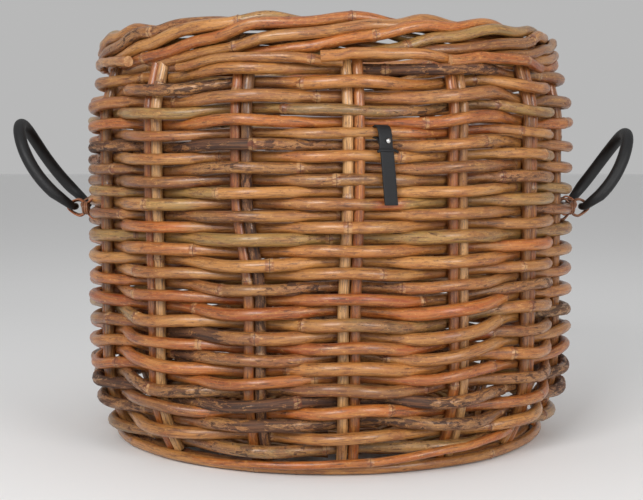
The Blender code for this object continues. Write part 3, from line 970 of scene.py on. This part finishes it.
def strap_line():
    """The strap's line seen from its side: a short flap, up and over the rod, then down to the tail."""
    tail = TAG_PIVOT.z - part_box("tag_strap")[0][2]
    flap = [(TAG_EYE + 0.0028, -0.0172), (TAG_EYE + 0.0027, -0.010), (TAG_EYE + 0.0018, -0.004)]
    over = [(TAG_EYE * math.cos(turn) + 0.0004, TAG_EYE * math.sin(turn))
            for turn in (math.pi * (0.08 + 0.2 * k) for k in range(7))]
    under = [(TAG_EYE * 0.62, -TAG_EYE * 1.06), (TAG_EYE + 0.0004, -TAG_EYE - 0.006)]
    drops = (0.022, 0.032, 0.042, 0.052, 0.060, 0.0635, 0.0655, 0.070, tail)
    down = [(TAG_EYE + 0.0010 + 0.0005 * math.sin(y * 60), -y) for y in drops]
    return [Vector((x, y, 0)) for x, y in flap + over + under + down]


def make_strap():
    place, line, rows = tag_place(), strap_line(), 8
    bm = bmesh.new()
    made = bmesh.ops.create_grid(bm, x_segments=len(line) - 1, y_segments=rows, size=1)["verts"]
    for index, vert in enumerate(made):
        i, j = index % len(line), index // len(line)
        share = j / rows - 0.5
        point = line[i] + Vector((0, 0, share * TAG_WIDTH))
        if i == 0:
            point.y -= share * 0.0030
        lean = max(0.0, -point.y - 0.010) if i > 9 else 0.0
        point.z -= lean * 0.115 - 0.0010
        vert.co = place @ point
    bmesh.ops.recalc_face_normals(bm, faces=bm.faces)
    bmesh.ops.solidify(bm, geom=bm.faces, thickness=STRAP_THICKNESS)
    bmesh.ops.recalc_face_normals(bm, faces=bm.faces)
    corners = [e for e in bm.edges if len(e.link_faces) == 2 and e.calc_face_angle(0) > 0.9]
    bmesh.ops.bevel(bm, geom=corners, offset=0.00035, segments=2, profile=0.5, affect="EDGES", material=-1)
    for face in bm.faces:
        face.smooth = True
    show("tag_leather_strap", bm, [tag_leather], "tag", ("tag_strap",))


def make_stud():
    rise = 0.0016
    profile = ((0.00001, 0.0), (0.0012, -0.0001), (0.0021, -0.0005), (0.0026, -0.0011), (0.0027, -0.0016))
    bm = bmesh.new()
    verts = [bm.verts.new((x, 0, z + rise)) for x, z in profile]
    for a, b in zip(verts, verts[1:]):
        bm.edges.new((a, b))
    bmesh.ops.spin(bm, geom=bm.verts[:] + bm.edges[:], axis=(0, 0, 1), cent=(0, 0, 0), angle=2 * math.pi,
                   steps=28, use_merge=True)
    bmesh.ops.remove_doubles(bm, verts=bm.verts, dist=3e-5)
    bmesh.ops.holes_fill(bm, edges=[e for e in bm.edges if e.is_boundary], sides=0)
    bmesh.ops.recalc_face_normals(bm, faces=bm.faces)
    face_x = TAG_EYE + 0.0027 + STRAP_THICKNESS / 2
    seat = Matrix.Translation((face_x, -0.0090, -0.0010)) @ Matrix.Rotation(math.pi / 2, 4, "Y")
    bmesh.ops.transform(bm, matrix=tag_place() @ seat, verts=bm.verts)
    for face in bm.faces:
        face.smooth = len(face.verts) < 10
    show("tag_dome_stud", bm, [stud_metal], "tag", ("tag_stud",))


def make_thong():
    place = tag_place()

    def thong(share):
        z = (share - 0.5) * THONG_LENGTH
        x = TAG_EYE + 0.0030 - 9 * z * z
        y = -0.0182 - 14 * z * z + 0.0006 * math.sin(share * 9)
        return place @ Vector((x, y, z - 0.0015))

    bm = bmesh.new()
    lay_rod(bm, Path(thong, 0, 1, 24), THONG_WIDTH, "bark", random.Random(61), sides=10, step=0.0015,
            node_gap=(0.5, 0.9))
    for face in bm.faces:
        face.smooth = len(face.verts) == 4
        face.material_index = 0
    bmesh.ops.recalc_face_normals(bm, faces=bm.faces)
    show("tag_thong", bm, [tag_leather], "tag", ("tag_keeper",))


# ---------------------------------------------------------------- studio

# Each lamp's name, place, size in metres and power in watts
LAMPS = (
    ("key", (-1.2, -2.6, 1.7), 1.3, 58),
    ("fill", (1.9, -2.5, 1.1), 1.2, 38),
    ("top", (0.0, 0.2, 2.8), 2.0, 5),
)
LAMPS_AIM = Vector((0, 0, 0.2))
WORLD_STRENGTH = 0.48
FLOOR_SIZE = 90
CAMERA_PLACE = (0, -1.5, 0.324)
CAMERA_TURN = (math.radians(86), 0, math.radians(0.32))
CAMERA_LENS = 67.3


def studio():
    bpy.ops.mesh.primitive_plane_add(size=FLOOR_SIZE, location=(0, 0, 0))
    floor = bpy.context.object
    floor.name = "pale_floor"
    paint = Shader("pale_paint", Roughness=0.9)
    paint.finish(Base_Color=Vector((0.86, 0.86, 0.86)))
    floor.data.materials.append(paint.material)

    for name, place, size, power in LAMPS:
        lamp = bpy.data.lights.new(name, "AREA")
        lamp.size = size
        lamp.energy = power
        light = bpy.data.objects.new(name, lamp)
        bpy.context.scene.collection.objects.link(light)
        light.location = place
        light.rotation_euler = (LAMPS_AIM - Vector(place)).to_track_quat("-Z", "Y").to_euler()

    world = bpy.data.worlds.new("studio")
    world.use_nodes = True
    background = world.node_tree.nodes["Background"]
    background.inputs[0].default_value = (1, 1, 1, 1)
    background.inputs[1].default_value = WORLD_STRENGTH
    bpy.context.scene.world = world
    bpy.context.scene.view_settings.view_transform = "Standard"

    lens = bpy.data.cameras.new("camera")
    lens.lens = CAMERA_LENS
    lens.sensor_width = 36
    camera = bpy.data.objects.new("camera", lens)
    bpy.context.scene.collection.objects.link(camera)
    camera.location = CAMERA_PLACE
    camera.rotation_euler = CAMERA_TURN
    bpy.context.scene.camera = camera


rattan = lacquered_rattan("lacquered_rattan", 0.36)
stake_rattan = lacquered_rattan("combed_rattan", 0.55, 0.38)
dull_rattan = lacquered_rattan("base_rattan_dull", 0.12)
batten_cane = cut_end("batten_cane")
sawn = cut_end("sawn_rod_end")
cane = split_cane("split_cane")
handle_leather = black_leather("rolled_black_leather", tint(10, 10, 12), 900, 0.42, 0.5)
tag_leather = black_leather("grained_black_leather", tint(13, 14, 17), 1300, 0.44, 1.0)
stud_metal = polished_metal("stud_steel")

make_stakes()
make_weavers()
make_rim()
make_tucked_rods()
make_foot()
make_base()
make_battens()
make_handle("right", 0.0)
make_handle("left", math.pi)
for lashing_side in ("left", "right"):
    for lashing_end in ("front", "back"):
        make_lashing(lashing_side, lashing_end)
make_strap()
make_stud()
make_thong()
studio()
